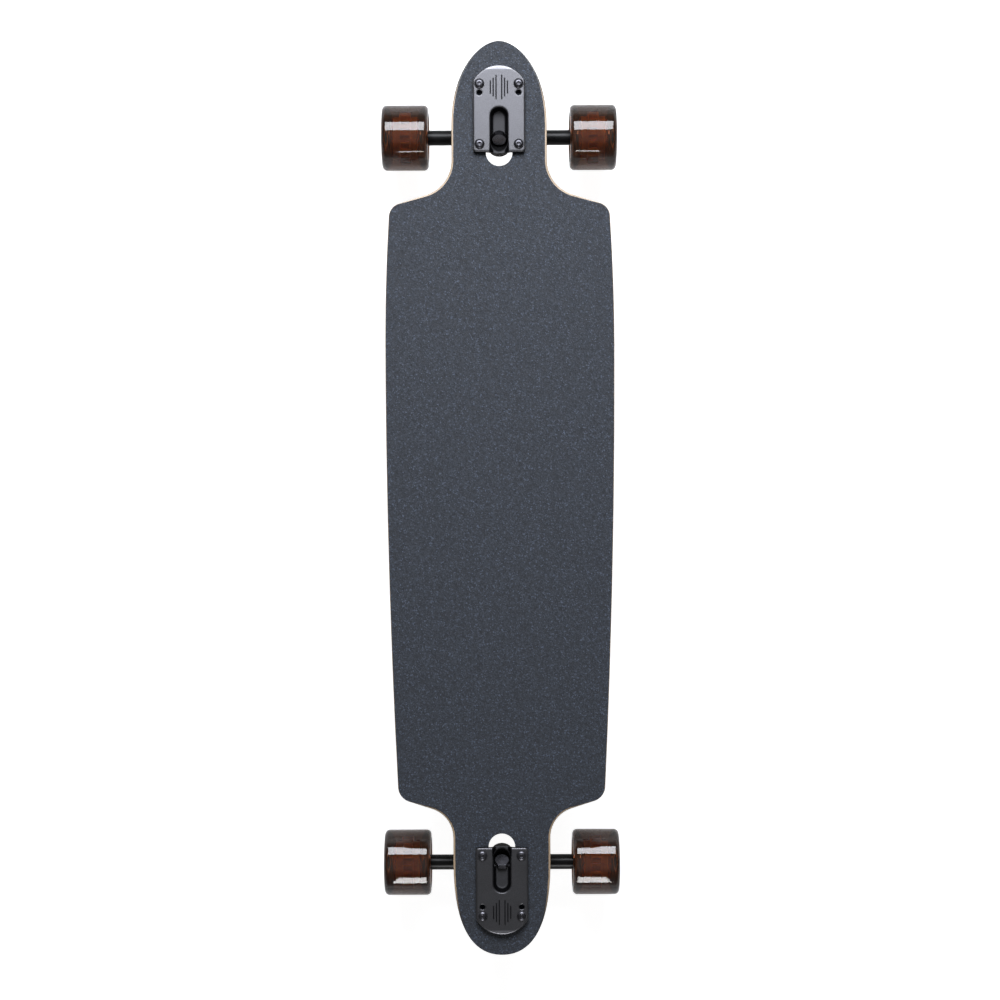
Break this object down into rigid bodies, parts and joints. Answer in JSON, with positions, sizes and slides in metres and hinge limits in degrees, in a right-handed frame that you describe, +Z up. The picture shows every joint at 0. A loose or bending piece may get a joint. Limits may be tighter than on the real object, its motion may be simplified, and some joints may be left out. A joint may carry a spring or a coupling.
{
  "type": "longboard skateboard",
  "caption": "Drop-through longboard with a cut-away concave deck, dark grip tape, black reverse-kingpin trucks that lean to steer and free-spinning brown urethane wheels.",
  "frame": {"origin": "on the ground, under the middle of the deck", "axes": "+Y towards the nose, +X to the right, +Z up"},
  "size_m": [0.2526, 0.965, 0.1036],
  "materials": {
    "deck_wood": "clear lacquer",
    "grip": "abrasive grit",
    "truck_casting": "satin black coat",
    "black_steel": "black oxide",
    "axle_steel": "zinc",
    "bearing_steel": "ground",
    "bearing_shield": "moulded",
    "cage_plastic": "moulded",
    "wheel_urethane": "glossy translucent",
    "wheel_core": "moulded",
    "bushing_urethane": "satin",
    "pivot_urethane": "satin"
  },
  "bodies": {
    "board": {"deck": "deck_wood", "grip_tape": "grip", "front_baseplate": "truck_casting", "front_pivot_cup": "pivot_urethane", "front_kingpin": "black_steel", "front_kingpin_nut": "black_steel", "front_bushing_washers": "black_steel", "front_boardside_bushing": "bushing_urethane", "front_roadside_bushing": "bushing_urethane", "front_mounting_bolts": "black_steel", "front_mounting_nuts": "black_steel", "rear_baseplate": "truck_casting", "rear_pivot_cup": "pivot_urethane", "rear_kingpin": "black_steel", "rear_kingpin_nut": "black_steel", "rear_bushing_washers": "black_steel", "rear_boardside_bushing": "bushing_urethane", "rear_roadside_bushing": "bushing_urethane", "rear_mounting_bolts": "black_steel", "rear_mounting_nuts": "black_steel"},
    "front_hanger": {"front_hanger": "truck_casting", "front_axle": "axle_steel", "front_axle_nuts": "axle_steel", "front_speed_washers": "axle_steel", "front_bearing_inner_rings": "bearing_steel", "front_bearing_spacers": "axle_steel"},
    "front_left_wheel": {"front_left_tyre": "wheel_urethane", "front_left_core": "wheel_core", "front_left_bearing_outer_rings": "bearing_steel", "front_left_bearing_shields": "bearing_shield"},
    "front_left_ball_set": {"front_left_bearing_balls": "bearing_steel", "front_left_bearing_cages": "cage_plastic"},
    "front_right_wheel": {"front_right_tyre": "wheel_urethane", "front_right_core": "wheel_core", "front_right_bearing_outer_rings": "bearing_steel", "front_right_bearing_shields": "bearing_shield"},
    "front_right_ball_set": {"front_right_bearing_balls": "bearing_steel", "front_right_bearing_cages": "cage_plastic"},
    "rear_hanger": {"rear_hanger": "truck_casting", "rear_axle": "axle_steel", "rear_axle_nuts": "axle_steel", "rear_speed_washers": "axle_steel", "rear_bearing_inner_rings": "bearing_steel", "rear_bearing_spacers": "axle_steel"},
    "rear_left_wheel": {"rear_left_tyre": "wheel_urethane", "rear_left_core": "wheel_core", "rear_left_bearing_outer_rings": "bearing_steel", "rear_left_bearing_shields": "bearing_shield"},
    "rear_left_ball_set": {"rear_left_bearing_balls": "bearing_steel", "rear_left_bearing_cages": "cage_plastic"},
    "rear_right_wheel": {"rear_right_tyre": "wheel_urethane", "rear_right_core": "wheel_core", "rear_right_bearing_outer_rings": "bearing_steel", "rear_right_bearing_shields": "bearing_shield"},
    "rear_right_ball_set": {"rear_right_bearing_balls": "bearing_steel", "rear_right_bearing_cages": "cage_plastic"}
  },
  "joints": [
    {"name": "front_steer", "type": "hinge", "parent": "board", "child": "front_hanger", "pos_m": [0, 0.3901, 0.035], "axis": [0, 0.6428, 0.766], "range_deg": [-20, 20], "stiffness_Nm_per_rad": 25, "deforming": ["front_boardside_bushing", "front_roadside_bushing"]},
    {"name": "front_left_wheel_spin", "type": "hinge", "parent": "front_hanger", "child": "front_left_wheel", "pos_m": [-0.1013, 0.3901, 0.035], "axis": [1, 0, 0], "continuous": true},
    {"name": "front_left_ball_set_roll", "type": "hinge", "parent": "front_hanger", "child": "front_left_ball_set", "pos_m": [-0.1013, 0.3901, 0.035], "axis": [1, 0, 0], "continuous": true},
    {"name": "front_right_wheel_spin", "type": "hinge", "parent": "front_hanger", "child": "front_right_wheel", "pos_m": [0.1013, 0.3901, 0.035], "axis": [1, 0, 0], "continuous": true},
    {"name": "front_right_ball_set_roll", "type": "hinge", "parent": "front_hanger", "child": "front_right_ball_set", "pos_m": [0.1013, 0.3901, 0.035], "axis": [1, 0, 0], "continuous": true},
    {"name": "rear_steer", "type": "hinge", "parent": "board", "child": "rear_hanger", "pos_m": [0, -0.3942, 0.035], "axis": [0, -0.6428, 0.766], "range_deg": [-20, 20], "stiffness_Nm_per_rad": 25, "deforming": ["rear_boardside_bushing", "rear_roadside_bushing"]},
    {"name": "rear_left_wheel_spin", "type": "hinge", "parent": "rear_hanger", "child": "rear_left_wheel", "pos_m": [-0.1013, -0.3942, 0.035], "axis": [1, 0, 0], "continuous": true},
    {"name": "rear_left_ball_set_roll", "type": "hinge", "parent": "rear_hanger", "child": "rear_left_ball_set", "pos_m": [-0.1013, -0.3942, 0.035], "axis": [1, 0, 0], "continuous": true},
    {"name": "rear_right_wheel_spin", "type": "hinge", "parent": "rear_hanger", "child": "rear_right_wheel", "pos_m": [0.1013, -0.3942, 0.035], "axis": [1, 0, 0], "continuous": true},
    {"name": "rear_right_ball_set_roll", "type": "hinge", "parent": "rear_hanger", "child": "rear_right_ball_set", "pos_m": [0.1013, -0.3942, 0.035], "axis": [1, 0, 0], "continuous": true}
  ],
  "couplings": [
    {"joint": "front_left_ball_set_roll", "follows": "front_left_wheel_spin", "ratio": 0.63233},
    {"joint": "front_right_ball_set_roll", "follows": "front_right_wheel_spin", "ratio": 0.63233},
    {"joint": "rear_left_ball_set_roll", "follows": "rear_left_wheel_spin", "ratio": 0.63233},
    {"joint": "rear_right_ball_set_roll", "follows": "rear_right_wheel_spin", "ratio": 0.63233}
  ]
}
